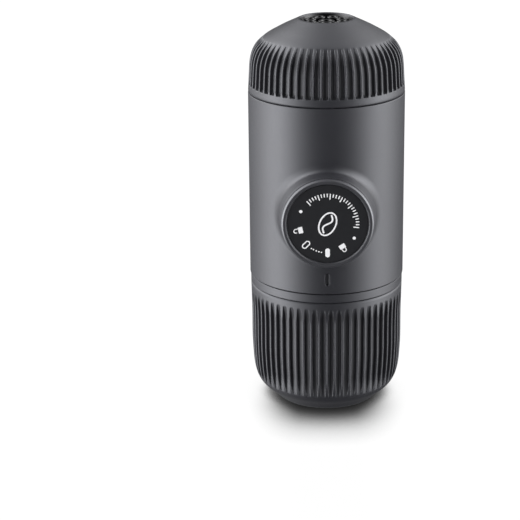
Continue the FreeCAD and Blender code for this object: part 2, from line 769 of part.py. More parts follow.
filter_basket = new_body("filter_basket")
br, bw, bb, bt = D["basket_radius"], D["basket_wall"], D["basket_bottom"], D["basket_rim"]
turn(
    filter_basket,
    "basket_wall_profile",
    [
        (0, bb),
        (br - 1.2, bb),
        (br, bb + 1.2),
        (br, bt - bw),
        (21.7, bt - bw),
        (21.7, bt),
        (br - bw, bt),
        (br - bw, bb + 1.4),
        (br - bw - 0.8, bb + 0.7),
        (0, bb + 0.7),
    ],
)
spots = [(0, 0, 0.45)]
for ring in range(1, 6):
    for k in range(6 * ring):
        a = 2 * math.pi * k / (6 * ring)
        spots.append((2.5 * ring * math.cos(a), 2.5 * ring * math.sin(a), 0.45))
sk = new_sketch(filter_basket, "basket_hole_plan", "XY_Plane", bb)
for x, y, r in spots:
    sk.addGeometry(Part.Circle(V(x, y, 0), V(0, 0, 1), r), False)
p = filter_basket.newObject("PartDesign::Pocket", "basket_holes")
p.Profile = sk
p.Length = 1.0
p.Reversed = True

head_gasket = new_body("head_gasket")
turn(
    head_gasket,
    "head_gasket_ring",
    [(19.9, bt + 0.1), (21.9, bt + 0.1), (21.9, bt + 1.05), (19.9, bt + 1.05)],
)

outlet_filter = new_body("outlet_filter")
turn(outlet_filter, "outlet_filter_disc", [(0, 124.45), (19.5, 124.45), (19.5, 125.05), (0, 125.05)])
sk = new_sketch(outlet_filter, "outlet_filter_plan", "XY_Plane", size(124.45))
for ring in range(0, 7):
    for k in range(max(1, 6 * ring)):
        a = 2 * math.pi * k / max(1, 6 * ring)
        sk.addGeometry(Part.Circle(V(2.4 * ring * math.cos(a), 2.4 * ring * math.sin(a), 0), V(0, 0, 1), 0.4), False)
p = outlet_filter.newObject("PartDesign::Pocket", "outlet_filter_holes")
p.Profile = sk
p.Length = 1.0
p.Reversed = True

portafilter = new_body("portafilter")
ch = D["channel_radius"]
turn(
    portafilter,
    "portafilter_wall",
    [
        (ch, 127.7),
        (16.5, 126.6),
        (16.5, 125.1),
        (22.3, 125.1),
        (22.3, 115.9),
        (D["head_core"] - 0.4, 115.9),
        (D["head_core"], 116.3),
        (D["head_core"], 127.5),
        (28.4, 127.5),
        (28.4, 129.5),
        (6.0, 129.5),
        (4.65, 131.0),
        (4.65, 149.0),
        (ch, 149.0),
    ],
)
thread(portafilter, "portafilter_thread", D["head_core"], True, size(117.5 - 0.2), 0.6)

outlet_head = new_body("outlet_head")
turn(
    outlet_head,
    "outlet_head_wall",
    [
        (28.45, D["head_bottom"] + 0.3),
        (28.75, D["head_bottom"]),
        (D["body_radius"] - 0.35, D["head_bottom"]),
        (D["body_radius"] - 0.05, D["head_bottom"] + 0.3),
        [(30.56, 131.1), (30.28, 136.1), (29.76, 140.96), (28.77, 143.88), (27.78, 145.55), (25.79, 147.56), (23.81, 149.10), (20.83, 150.87), (17.86, 152.50), (13.89, 154.43), (11.6, 155.5)],
        (D["outlet_hole"] + 0.35, D["head_top"]),
        (D["outlet_hole"], D["head_top"] - 0.15),
        (D["outlet_hole"], 153.2),
        [(12.9, 152.2), (15.5, 151.0), (18.8, 149.2), (21.5, 147.6), (23.6, 146.1), (25.3, 144.4), (26.4, 142.7), (27.3, 140.2), (27.9, 136.2)],
        (28.45, 131.0),
    ],
)

flutes(
    outlet_head,
    "head_flutes",
    [(30.75, 130.3), (30.1, 131.2), (29.72, 132.5), (29.4, 136.1), (28.9, 140.5), (28.0, 143.35), (27.1, 144.95), (25.5, 146.8), (24.5, 148.2), (24.2, 149.6)],
    33,
)
outlet_head.Placement = FreeCAD.Placement(V(0, 0, 0), FreeCAD.Rotation(V(0, 0, 1), 4.5))

spout = new_body("spout")
turn(
    spout,
    "spout_profile",
    [
        (ch, 150.6),
        (4.7, 150.6),
        (4.7, 142.6),
        (6.4, 142.6),
        (6.4, 150.6),
        (12.3, 150.6),
        (12.3, 152.0),
        (D["spout_radius"], 152.0),
        (D["spout_radius"], 155.0),
        (9.9, 155.3),
        (9.2, 152.2),
        (3.4, 152.2),
        (3.1, 154.3),
        (ch + 0.2, 154.3),
        (ch, 154.0),
    ],
)
loop = new_sketch(spout, "spout_loop_plan", "XY_Plane", size(152.0))
for r in (2.3, 1.35):
    g = loop.addGeometry(Part.Circle(V(6.25, 0, 0), V(0, 0, 1), r), False)
    hold(loop, g, 3, 6.25, 0)
    loop.addConstraint(Sketcher.Constraint("Radius", g, r))
pad = spout.newObject("PartDesign::Pad", "spout_loop")
pad.Profile = loop
pad.Length = 1.7
around(spout, "spout_loops", pad, 8)

# ---------------------------------------------------------------------- write

doc.recompute()
bad = [o.Name for o in doc.Objects if "Invalid" in o.State or "Error" in o.State]
if bad:
    raise SystemExit("failed objects: %s" % ", ".join(bad))
os.makedirs("parts", exist_ok=True)
for name, obj in PARTS:
    s = obj.Shape
    if s.isNull() or not s.isValid() or not s.Solids:
        raise SystemExit("bad shape: %s" % name)
for name, obj in PARTS:
    obj.Shape.exportStep("parts/%s.step" % name)
    bb_ = obj.Shape.optimalBoundingBox(False) if hasattr(obj.Shape, "optimalBoundingBox") else obj.Shape.BoundBox
    print("%-16s solids %d  volume %9.1f mm3  z %.2f..%.2f" % (name, len(obj.Shape.Solids), obj.Shape.Volume, bb_.ZMin, bb_.ZMax))
print(len(PARTS), "parts")
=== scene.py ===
import math

import bmesh
import bpy
import numpy as np
from mathutils import Matrix, Vector


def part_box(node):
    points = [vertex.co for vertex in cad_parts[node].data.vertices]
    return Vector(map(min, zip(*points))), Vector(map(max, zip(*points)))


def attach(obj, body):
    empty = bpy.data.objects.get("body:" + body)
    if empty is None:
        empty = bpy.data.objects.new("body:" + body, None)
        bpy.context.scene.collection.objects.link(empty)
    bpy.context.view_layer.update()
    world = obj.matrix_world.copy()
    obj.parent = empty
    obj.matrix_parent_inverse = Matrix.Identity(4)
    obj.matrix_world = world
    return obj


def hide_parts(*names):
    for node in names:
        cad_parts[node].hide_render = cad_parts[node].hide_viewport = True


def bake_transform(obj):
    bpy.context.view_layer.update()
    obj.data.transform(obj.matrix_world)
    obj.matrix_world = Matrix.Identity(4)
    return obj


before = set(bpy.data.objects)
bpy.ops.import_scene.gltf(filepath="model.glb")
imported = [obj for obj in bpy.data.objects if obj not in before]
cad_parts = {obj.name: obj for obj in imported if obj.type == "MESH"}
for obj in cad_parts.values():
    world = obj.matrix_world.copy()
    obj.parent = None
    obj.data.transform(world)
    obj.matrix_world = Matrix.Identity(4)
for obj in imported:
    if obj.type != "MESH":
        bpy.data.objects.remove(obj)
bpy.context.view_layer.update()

# Handheld manual espresso maker.  All shapes are written in millimetres, z up
# from the cup's base, the piston knob facing -y, and become metres in build().
MM = 0.001


# ------------------------------------------------------------------- meshing


def build(name, verts, faces, weld=2e-7, sharp=None):
    """Object from points in millimetres; coincident points are welded and the faces turned outwards."""
    mesh = bpy.data.meshes.new(name)
    pts = np.asarray(verts, float) * MM
    mesh.from_pydata([tuple(p) for p in pts.tolist()], [], faces)
    bm = bmesh.new()
    bm.from_mesh(mesh)
    bmesh.ops.remove_doubles(bm, verts=bm.verts, dist=weld)
    bmesh.ops.dissolve_degenerate(bm, dist=1e-8, edges=bm.edges)
    bmesh.ops.recalc_face_normals(bm, faces=bm.faces)
    bm.to_mesh(mesh)
    bm.free()
    mesh.shade_smooth()
    if sharp:
        mesh.set_sharp_from_angle(angle=math.radians(sharp))
    obj = bpy.data.objects.new(name, mesh)
    bpy.context.scene.collection.objects.link(obj)
    return obj


def weighted(obj):
    """Flat faces keep flat shading beside their rounded edges."""
    m = obj.modifiers.new("weighted_normals", "WEIGHTED_NORMAL")
    m.keep_sharp = True
    m.weight = 60
    return obj


def ring_faces(rows, n, closed):
    """Quads between neighbouring rings of n points."""
    out = []
    last = rows if closed else rows - 1
    for j in range(last):
        a, b = j * n, ((j + 1) % rows) * n
        for i in range(n):
            k = (i + 1) % n
            out.append((a + i, a + k, b + k, b + i))
    return out


def rounded(points, closed=True, steps=5):
    """Profile whose corners are arcs.  A point is (r, z) or (r, z, radius)."""
    pts = [(p[0], p[1], p[2] if len(p) > 2 else 0.0) for p in points]
    out = []
    count = len(pts)
    for i, (x, y, rad) in enumerate(pts):
        if rad <= 0 or (not closed and i in (0, count - 1)):
            out.append((x, y))
            continue
        p, a, b = np.array((x, y)), np.array(pts[i - 1][:2]), np.array(pts[(i + 1) % count][:2])
        u, v = (a - p), (b - p)
        lu, lv = np.linalg.norm(u), np.linalg.norm(v)
        u, v = u / lu, v / lv
        angle = math.acos(max(-1.0, min(1.0, float(u @ v))))
        if angle > math.pi - 0.02:
            out.append((x, y))
            continue
        cut = min(rad / math.tan(angle / 2), 0.48 * lu, 0.48 * lv)
        radius = cut * math.tan(angle / 2)
        bis = (u + v) / np.linalg.norm(u + v)
        centre = p + bis * (radius / math.sin(angle / 2))
        s, e = p + u * cut - centre, p + v * cut - centre
        turn = math.acos(max(-1.0, min(1.0, float(s @ e) / (radius * radius))))
        for k in range(steps + 1):
            t = k / steps
            q = (math.sin((1 - t) * turn) * s + math.sin(t * turn) * e) / math.sin(turn)
            out.append(tuple(centre + q))
    return out


def curve(points, step=0.5):
    """Natural cubic spline through the points, as evenly spaced points."""
    p = np.array(points, float)
    t = np.concatenate([[0], np.cumsum(np.linalg.norm(np.diff(p, axis=0), axis=1))])
    n = len(p)
    a, d = np.zeros((n, n)), np.zeros((n, 2))
    a[0, 0] = a[-1, -1] = 1
    for i in range(1, n - 1):
        h0, h1 = t[i] - t[i - 1], t[i + 1] - t[i]
        a[i, i - 1], a[i, i], a[i, i + 1] = h0, 2 * (h0 + h1), h1
        d[i] = 6 * ((p[i + 1] - p[i]) / h1 - (p[i] - p[i - 1]) / h0)
    m = np.linalg.solve(a, d)
    s = np.linspace(0, t[-1], max(3, int(t[-1] / step) + 1))
    out = []
    for q in s:
        i = min(n - 2, max(0, int(np.searchsorted(t, q, side="right") - 1)))
        h, u = t[i + 1] - t[i], q - t[i]
        w = t[i + 1] - q
        out.append(
            m[i] * w**3 / (6 * h) + m[i + 1] * u**3 / (6 * h)
            + (p[i] / h - m[i] * h / 6) * w + (p[i + 1] / h - m[i + 1] * h / 6) * u
        )
    return [tuple(x) for x in out]


def upright(r, z, a):
    """Point at radius r, height z and turn a from the front, about the body axis."""
    return np.stack([r * np.sin(a), -r * np.cos(a), z + 0 * a], -1)


KNOB_Z = 84.4


def forward(r, d, a):
    """Point at radius r about the piston axis, d in front of the body axis."""
    return np.stack([r * np.cos(a), -d + 0 * a, KNOB_Z + r * np.sin(a)], -1)


def lathe(name, profile, n=192, place=upright, closed=True, sharp=None):
    """Solid of revolution of a profile of (r, height) points."""
    a = np.linspace(0, 2 * math.pi, n, endpoint=False)
    rows = [place(max(r, 0.0), z, a) for r, z in profile]
    return build(name, np.concatenate(rows), ring_faces(len(rows), n, closed), sharp=sharp)


def tube(name, path, radius, sides=14):
    """Round wire along a path of 3-D points, closed at both ends."""
    p = np.array(path, float)
    t = np.gradient(p, axis=0)
    t /= np.linalg.norm(t, axis=1)[:, None]
    n = np.cross(t[0], (0.3, 0.5, 0.81))
    n /= np.linalg.norm(n)
    rows = []
    a = np.linspace(0, 2 * math.pi, sides, endpoint=False)
    for i in range(len(p)):
        n = n - t[i] * (n @ t[i])
        n /= np.linalg.norm(n)
        b = np.cross(t[i], n)
        rows.append((p[i], n, b, t[i]))
    pts = []
    dome = 4
    for k in range(dome):
        u = math.pi / 2 * k / dome
        c, n, b, t0 = rows[0]
        pts.append(c - t0 * radius * math.cos(u) + radius * math.sin(u) * (np.outer(np.cos(a), n) + np.outer(np.sin(a), b)))
    for c, n, b, _ in rows:
        pts.append(c + radius * (np.outer(np.cos(a), n) + np.outer(np.sin(a), b)))
    for k in range(dome - 1, -1, -1):
        u = math.pi / 2 * k / dome
        c, n, b, t1 = rows[-1]
        pts.append(c + t1 * radius * math.cos(u) + radius * math.sin(u) * (np.outer(np.cos(a), n) + np.outer(np.sin(a), b)))
    return build(name, np.concatenate(pts), ring_faces(len(pts), sides, False))


# ------------------------------------------------------------ fluted shells

RIBS = 60


def resample(path, zones):
    """Points along a path, spaced by the step of the zone they are in: zones are (end length, step)."""
    p = np.array(path, float)
    s = np.concatenate([[0], np.cumsum(np.linalg.norm(np.diff(p, axis=0), axis=1))])
    at, where = [0.0], 0.0
    for end, step in zones:
        end = min(end, s[-1])
        if end <= where + 1e-6:
            continue
        count = max(1, int(math.ceil((end - where) / step)))
        at += list(where + (end - where) * np.arange(1, count + 1) / count)
        where = end
    if where < s[-1] - 1e-6:
        at.append(s[-1])
    at = np.array(at)
    return np.stack([np.interp(at, s, p[:, 0]), np.interp(at, s, p[:, 1])], 1), at


def length_at(path, axis, value):
    """Length along the path where its radius (axis 0) or height (axis 1) first passes value."""
    p = np.array(path, float)
    s = np.concatenate([[0], np.cumsum(np.linalg.norm(np.diff(p, axis=0), axis=1))])
    d = p[:, axis] - value
    for i in range(len(p) - 1):
        if d[i] == 0 or d[i] * d[i + 1] < 0:
            return float(s[i] + (s[i + 1] - s[i]) * d[i] / (d[i] - d[i + 1]))
    raise ValueError("the path never gets there")


def rib_form(u, depth, crest, foot, lean=78.0, pitch=3.17):
    """0 on a rib's crest, 1 on the floor between ribs; u is the distance from the crest in pitches.

    A rib is half round on top, with steep flanks that run out into the floor in a hollow."""
    w = math.radians(lean)
    turn = np.linspace(0, w, 24)
    across, down = list(crest * np.sin(turn)), list(crest * (1 - np.cos(turn)))
    wall = max(0.0, depth - (crest + foot) * (1 - math.cos(w)))
    x, y = across[-1] + wall / math.tan(w), down[-1] + wall
    for v in turn[::-1]:
        across.append(x + foot * (math.sin(w) - math.sin(v)))
        down.append(y + foot * (math.cos(v) - math.cos(w)))
    return np.interp(np.abs(u) * pitch, across, np.array(down) / down[-1])


def fluted(name, outer, inner, start, end, rise, fall, depth, turn, open_profile=False, power=1.5, entry=None, crest=0.44, foot=0.6, fade=0.0, fade_in=0.0):
    """Shell with RIBS round-topped ribs between lengths start and end of its outer path.

    rise and fall are the lengths over which the valleys reach their depth and run out; the
    entry is a quarter circle, or a power curve.  With fade 0 the valleys run out as if a cutter
    were lifted, getting narrow; with fade 1 the ribs keep their width and get flatter.  fade_in
    is the same at the start."""
    side = [v * crest / 0.36 for v in (0.0, 0.027, 0.052, 0.075, 0.094, 0.108)]
    side += [side[-1] + (0.4 - side[-1]) * v for v in (0.058, 0.13, 0.205, 0.28, 0.385, 0.52, 0.71, 1.0)]
    one = np.array(side + [0.5] + [-v for v in side[:0:-1]])
    samples = len(one)
    n = RIBS * samples
    fine = 0.16
    zones = [
        (start - 0.2, 0.9), (start + rise + 0.4, fine), (start + rise + 2.0, 0.5), (end - fall - 1.0, 1.1),
        (end - fall, 0.5), (end + 0.2, fine), (1e9, 0.7),
    ]
    path, s = resample(outer, zones)
    tangent = np.gradient(path, s, axis=0)
    tangent /= np.linalg.norm(tangent, axis=1)[:, None]
    normal = np.stack([tangent[:, 1], -tangent[:, 0]], 1)
    if normal[len(normal) // 2, 0] < 0:
        normal = -normal
    u = np.tile(one, RIBS)
    a = (np.repeat(np.arange(RIBS), samples) + np.where(u < 0, 1.0 + u, u)) * 2 * math.pi / RIBS
    form = rib_form(u, depth, crest, foot)
    rows = []
    top = path[:, 0].max()
    for j in range(len(path)):
        r, z = path[j]
        x0, x1 = (s[j] - start) / rise, (end - s[j]) / fall
        if x0 <= 0 or x1 <= 0:
            rows.append(upright(r, z, a + turn))
            continue
        e0 = 1 - (1 - min(1.0, x0)) ** entry if entry else math.sqrt(max(0.0, 1 - (1 - min(1.0, x0)) ** 2))
        e1 = 1 - (1 - min(1.0, x1)) ** power
        full = depth * min(1.0, (r / top) ** 0.5)
        low = ((1 - fade) + fade * e1 ** 1.2) * ((1 - fade_in) + fade_in * e0)
        kept = min((1 - fade_in) * e0 + fade_in * (0.85 + 0.15 * e0), (1 - fade) * e1 + fade * (0.85 + 0.15 * e1))
        off = full * form * low - depth * (1 - kept)
        off = 0.5 * (off + np.sqrt(off * off + 0.003))
        off = off - off.min()
        rr, zz = r - off * normal[j, 0], z - off * normal[j, 1]
        aa = a + turn
        rows.append(np.stack([rr * np.sin(aa), -rr * np.cos(aa), zz], -1))
    for r, z in inner:
        rows.append(upright(r, z, a + turn))
    return build(name, np.concatenate(rows), ring_faces(len(rows), n, not open_profile))


# ------------------------------------------------------------------ outside

# Outlet head: plain band, ribbed shoulder, smooth dome and a lip round the spout.
dome = curve(
    [(30.56, 131.1), (30.28, 136.1), (29.76, 140.96), (28.77, 143.88), (27.78, 145.55), (25.79, 147.56),
     (23.81, 149.10), (20.83, 150.87), (17.86, 152.50), (13.89, 154.43), (11.6, 155.5)], 0.3)
head_outer = rounded([(30.0, 127.3), (30.75, 127.3, 0.28), (30.75, 127.75), (30.7, 128.6)], closed=False)[1:] + dome + rounded(
    [dome[-1], (10.72, 155.93, 0.28), (10.35, 155.7), (10.35, 153.4)], closed=False)[1:]
head_inner = [(10.35, 153.2), (12.9, 152.2), (15.5, 151.0), (18.8, 149.2), (21.5, 147.6), (23.6, 146.1), (25.3, 144.4),
              (26.4, 142.7), (27.3, 140.2), (27.9, 136.2), (28.45, 131.0), (28.45, 127.6), (28.75, 127.3)]
head = fluted(
    "outlet_head_shell", head_outer, head_inner, length_at(head_outer, 1, 130.35),
    length_at(head_outer[len(head_outer) // 3:], 0, 23.5) + length_at(head_outer, 1, head_outer[len(head_outer) // 3][1]),
    1.6, 7.8, 1.6, math.radians(1.5), power=1.4, fade=1.0)

# Drinking cup: plain foot, ribbed wall, plain rim.
cup_wall = curve(
    [(19.84, 0.0), (21.82, 1.88), (23.81, 3.63), (25.79, 5.30), (27.78, 7.90), (29.26, 12.17), (30.06, 19.74),
     (30.25, 23.5), (30.28, 33.0), (30.36, 41.0), (30.48, 48.0)], 0.3)
cup_outer = [(19.3, 0.0)] + cup_wall + rounded([cup_wall[-1], (30.5, 49.0, 0.35), (28.75, 49.0)], closed=False)[1:-1]
cup_inner = [(28.85, 49.0), (28.6, 48.93), (28.45, 48.7)] + curve(
    [(28.45, 48.7), (28.4, 38.0), (28.1, 24.0), (27.8, 20.5), (27.0, 13.4), (25.9, 9.3), (24.0, 6.1), (21.6, 4.0),
     (19.54, 2.4)], 1.2)[1:] + [(12, 2.4), (5, 2.4), (0.0, 2.4)]
cup = fluted(
    "cup_shell", [(0.0, 0.0), (5, 0.0), (12, 0.0), (17, 0.0)] + cup_outer, cup_inner,
    length_at([(0.0, 0.0), (5, 0.0), (12, 0.0), (17, 0.0)] + cup_outer, 1, 7.4),
    length_at([(0.0, 0.0), (5, 0.0), (12, 0.0), (17, 0.0)] + cup_outer, 1, 46.2),
    8.5, 6.2, 1.6, math.radians(-0.3), open_profile=True, power=1.45, entry=1.5, crest=0.5, foot=0.55, fade_in=0.8)

# Plain ring on the tank's shoulder.
ring = weighted(lathe(
    "tank_ring",
    rounded([(27.65, 49.15, 0.1), (30.5, 49.15, 0.28), (30.5, 52.6, 0.28), (27.65, 52.6, 0.1)]), 240))


def casing():
    """Cylindrical body shell: the tapered piston boss grows out of its front with a rolled fillet, and a
    small upright index mark is sunk under the boss."""
    R, B, z0, z1 = 30.8, 28.3, 52.9, 127.1
    boss, bore, front = 17.8, 16.5, 37.6
    slope = 0.085
    lean = math.atan(slope)
    cols, step = 240, math.radians(1.5)
    row0, row1, half_cols = 62.0, 106.8, 32
    pitch = 0.8
    verts, faces, index = [], [], {}

    def vid(p):
        key = (round(float(p[0]), 4), round(float(p[1]), 4), round(float(p[2]), 4))
        if key not in index:
            index[key] = len(verts)
            verts.append((float(p[0]), float(p[1]), float(p[2])))
        return index[key]

    def on(radius, a, z):
        return (radius * math.sin(a), -radius * math.cos(a), z)

    def strip(one, two, loop=True):
        n = len(one)
        for i in range(n if loop else n - 1):
            k = (i + 1) % n
            f = [vid(one[i]), vid(one[k]), vid(two[k]), vid(two[i])]
            f = [v for j, v in enumerate(f) if v != f[j - 1]]
            if len(set(f)) > 2:
                faces.append(f)

    def circle(radius, z):
        return [on(radius, i * step, z) for i in range(cols)]

    # full rings below and above the boss, and the rims
    mark_rows = (55.6, 62.0)
    low = [53.2 + pitch * k for k in range(12)]
    high = [row1 + (126.8 - row1) * k / 20 for k in range(21)]
    arc = [(R - 0.3 + 0.3 * math.cos(math.pi / 2 * t / 5), 0.3 - 0.3 * math.sin(math.pi / 2 * t / 5)) for t in range(6)]
    for j in range(len(low) - 1):
        a, b = low[j], low[j + 1]
        for i in range(-cols // 2, cols // 2):
            if -2 <= i < 2 and mark_rows[0] - 0.01 < a and b < mark_rows[1] + 0.01:
                continue
            faces.append([vid(on(R, i * step, a)), vid(on(R, (i + 1) * step, a)), vid(on(R, (i + 1) * step, b)), vid(on(R, i * step, b))])
    for j in range(len(high) - 1):
        strip(circle(R, high[j]), circle(R, high[j + 1]))
    for j in range(5):
        strip(circle(arc[j][0], z0 + arc[j][1]), circle(arc[j + 1][0], z0 + arc[j + 1][1]))
        strip(circle(arc[j][0], z1 - arc[j][1]), circle(arc[j + 1][0], z1 - arc[j + 1][1]))
    lip = [(B + 0.15 - 0.15 * math.sin(math.pi / 2 * t / 4), 0.15 - 0.15 * math.cos(math.pi / 2 * t / 4)) for t in range(5)]
    for z, sgn in ((z0, 1), (z1, -1)):
        strip(circle(R - 0.3, z), circle(lip[0][0], z))
        for j in range(4):
            strip(circle(lip[j][0], z + sgn * lip[j][1]), circle(lip[j + 1][0], z + sgn * lip[j + 1][1]))
    inner_low = [z0 + 0.15] + [53.6 + 1.2 * k for k in range(7)] + [row0]
    inner_high = [row1 + (z1 - 0.15 - row1) * k / 12 for k in range(13)]
    for rows in (inner_low, inner_high):
        for j in range(len(rows) - 1):
            strip(circle(B, rows[j]), circle(B, rows[j + 1]))
    # sides and back beside the boss
    count = int(round((row1 - row0) / pitch))
    mid = [row0 + pitch * k for k in range(count + 1)]
    for radius in (R, B):
        for j in range(count):
            for i in range(half_cols, cols - half_cols):
                faces.append([
                    vid(on(radius, i * step, mid[j])), vid(on(radius, (i + 1) * step, mid[j])),
                    vid(on(radius, (i + 1) * step, mid[j + 1])), vid(on(radius, i * step, mid[j + 1]))])
    # square frame round the boss, as (turn, height) in order
    frame_pts = [(i * step, row0) for i in range(-half_cols, half_cols)]
    frame_pts += [(half_cols * step, z) for z in mid[:-1]]
    frame_pts += [(i * step, row1) for i in range(half_cols, -half_cols, -1)]
    frame_pts += [(-half_cols * step, z) for z in mid[:0:-1]]
    phi = [math.atan2(z - KNOB_Z, R * a) for a, z in frame_pts]
    centre, rolls = [], [3.2 + 5.0 * math.cos(f) ** 4 for f in phi]
    for f, roll in zip(phi, rolls):
        away = 20.8
        for _ in range(30):
            depth = math.sqrt((R + roll) ** 2 - (away * math.cos(f)) ** 2)
            away = boss + slope * (front - depth) + roll / math.cos(lean)
        centre.append((away * math.cos(f), -depth, KNOB_Z + away * math.sin(f)))
    touch = []
    for x, y, z in centre:
        touch.append((math.atan2(x, -y), z))
    spread = [0.0, 0.03, 0.08, 0.15, 0.25, 0.37, 0.51, 0.66, 0.82, 1.0]
    loops = [[on(R, a0 + (a1 - a0) * t, h0 + (h1 - h0) * t) for (a0, h0), (a1, h1) in zip(touch, frame_pts)] for t in reversed(spread)]
    turns = 14
    for k in range(1, turns + 1):
        loop = []
        for f, c, roll in zip(phi, centre, rolls):
            c = np.array(c)
            d1 = -np.array((c[0], c[1], 0.0)) / (R + roll)
            d0 = np.array((-math.cos(lean) * math.cos(f), math.sin(lean), -math.cos(lean) * math.sin(f)))
            w = math.acos(max(-1.0, min(1.0, float(d0 @ d1))))
            t = k / turns
            d = (math.sin((1 - t) * w) * d1 + math.sin(t * w) * d0) / math.sin(w)
            loop.append(tuple(c + roll * d))
        loops.append(loop)
    for t in (0.04, 0.12, 0.25, 0.45, 0.7, 0.9, 1.0):
        loop = []
        for f, c, roll in zip(phi, centre, rolls):
            depth = -(c[1] + roll * math.sin(lean))
            depth += (front - 0.35 - depth) * t
            r = boss + slope * (front - 0.35 - depth)
            loop.append((r * math.cos(f), -depth, KNOB_Z + r * math.sin(f)))
        loops.append(loop)
    for k in range(1, 7):
        w = math.pi / 2 * k / 6
        r, d = boss - 0.35 + 0.35 * math.cos(w), front - 0.35 + 0.35 * math.sin(w)
        loops.append([(r * math.cos(f), -d, KNOB_Z + r * math.sin(f)) for f in phi])
    for k in range(0, 5):
        w = math.pi / 2 * k / 4
        r, d = bore + 0.2 - 0.2 * math.sin(w), front - 0.2 + 0.2 * math.cos(w)
        loops.append([(r * math.cos(f), -d, KNOB_Z + r * math.sin(f)) for f in phi])
    eye = [-math.sqrt(B**2 - (bore * math.cos(f)) ** 2) for f in phi]
    for t in (0.05, 0.3, 0.6, 0.85, 1.0):
        loops.append([(bore * math.cos(f), -(front - 0.2) + (y + front - 0.2) * t, KNOB_Z + bore * math.sin(f)) for f, y in zip(phi, eye)])
    edge = [(math.atan2(bore * math.cos(f), -y), KNOB_Z + bore * math.sin(f)) for f, y in zip(phi, eye)]
    for t in (0.1, 0.25, 0.45, 0.7, 1.0):
        loops.append([on(B, a0 + (a1 - a0) * t, h0 + (h1 - h0) * t) for (a0, h0), (a1, h1) in zip(edge, frame_pts)])
    for one, two in zip(loops[:-1], loops[1:]):
        strip(one, two)
    # sunk index mark: its frame is the 24 grid points round it
    width, tall, zc = 0.95, 2.6, 59.0
    box = [(i * step, low[3]) for i in range(-2, 2)] + [(2 * step, z) for z in low[3:-1]]
    box += [(i * step, low[-1]) for i in range(2, -2, -1)] + [(-2 * step, z) for z in low[:3:-1]]
    both = []
    for (a0, h0), (a1, h1) in zip(box, box[1:] + box[:1]):
        both += [(R * a0, h0), (R * (a0 + a1) / 2, (h0 + h1) / 2)]

    def pill(grow, y=None):
        out = []
        for x, z in both:
            zz = max(zc - (tall - width), min(zc + (tall - width), z))
            d = np.array((x, z - zz))
            d = d / np.linalg.norm(d)
            px, pz = d[0] * (width + grow), zz + d[1] * (width + grow)
            out.append((px, -math.sqrt(R * R - px * px) if y is None else y, pz))
        return out

    outer = [on(R, a, h) for a, h in box]
    first = pill(0.35)
    for i in range(len(outer)):
        k = (i + 1) % len(outer)
        j = 2 * i
        faces.append([vid(outer[i]), vid(outer[k]), vid(first[(j + 2) % len(first)]), vid(first[j + 1]), vid(first[j])])
    sunk = [first, pill(0.16), pill(0.08)]
    for g, d in ((0.03, 0.02), (-0.01, 0.055), (-0.05, 0.11), (-0.20, 0.37), (-0.36, 0.65), (-0.40, 0.70), (-0.46, 0.74), (-0.54, 0.75),
                 (-0.75, 0.75)):
        sunk.append([(x, y + d, z) for x, y, z in pill(g)])
    for one, two in zip(sunk[:-1], sunk[1:]):
        strip(one, two)
    faces.append([vid(p) for p in sunk[-1]])
    return build("body_casing", verts, faces, weld=1e-7, sharp=40)


body = weighted(casing())

# Knob: outer ring with a bevelled edge, and the black dial.
rim = weighted(lathe(
    "knob_rim",
    rounded([(15.55, 37.9), (17.55, 37.9, 0.12), (17.55, 39.35, 0.3), (17.0, 39.9, 0.3), (16.0, 39.86, 0.12), (15.85, 39.3),
             (15.55, 39.2)], steps=9), 256, forward))
dial = weighted(lathe(
    "knob_dial",
    rounded([(0, 38.32), (15.5, 38.32), (15.5, 39.25, 0.16), (15.05, 39.25), (6, 39.25), (0, 39.25)], closed=False, steps=6),
    256, forward, closed=False))


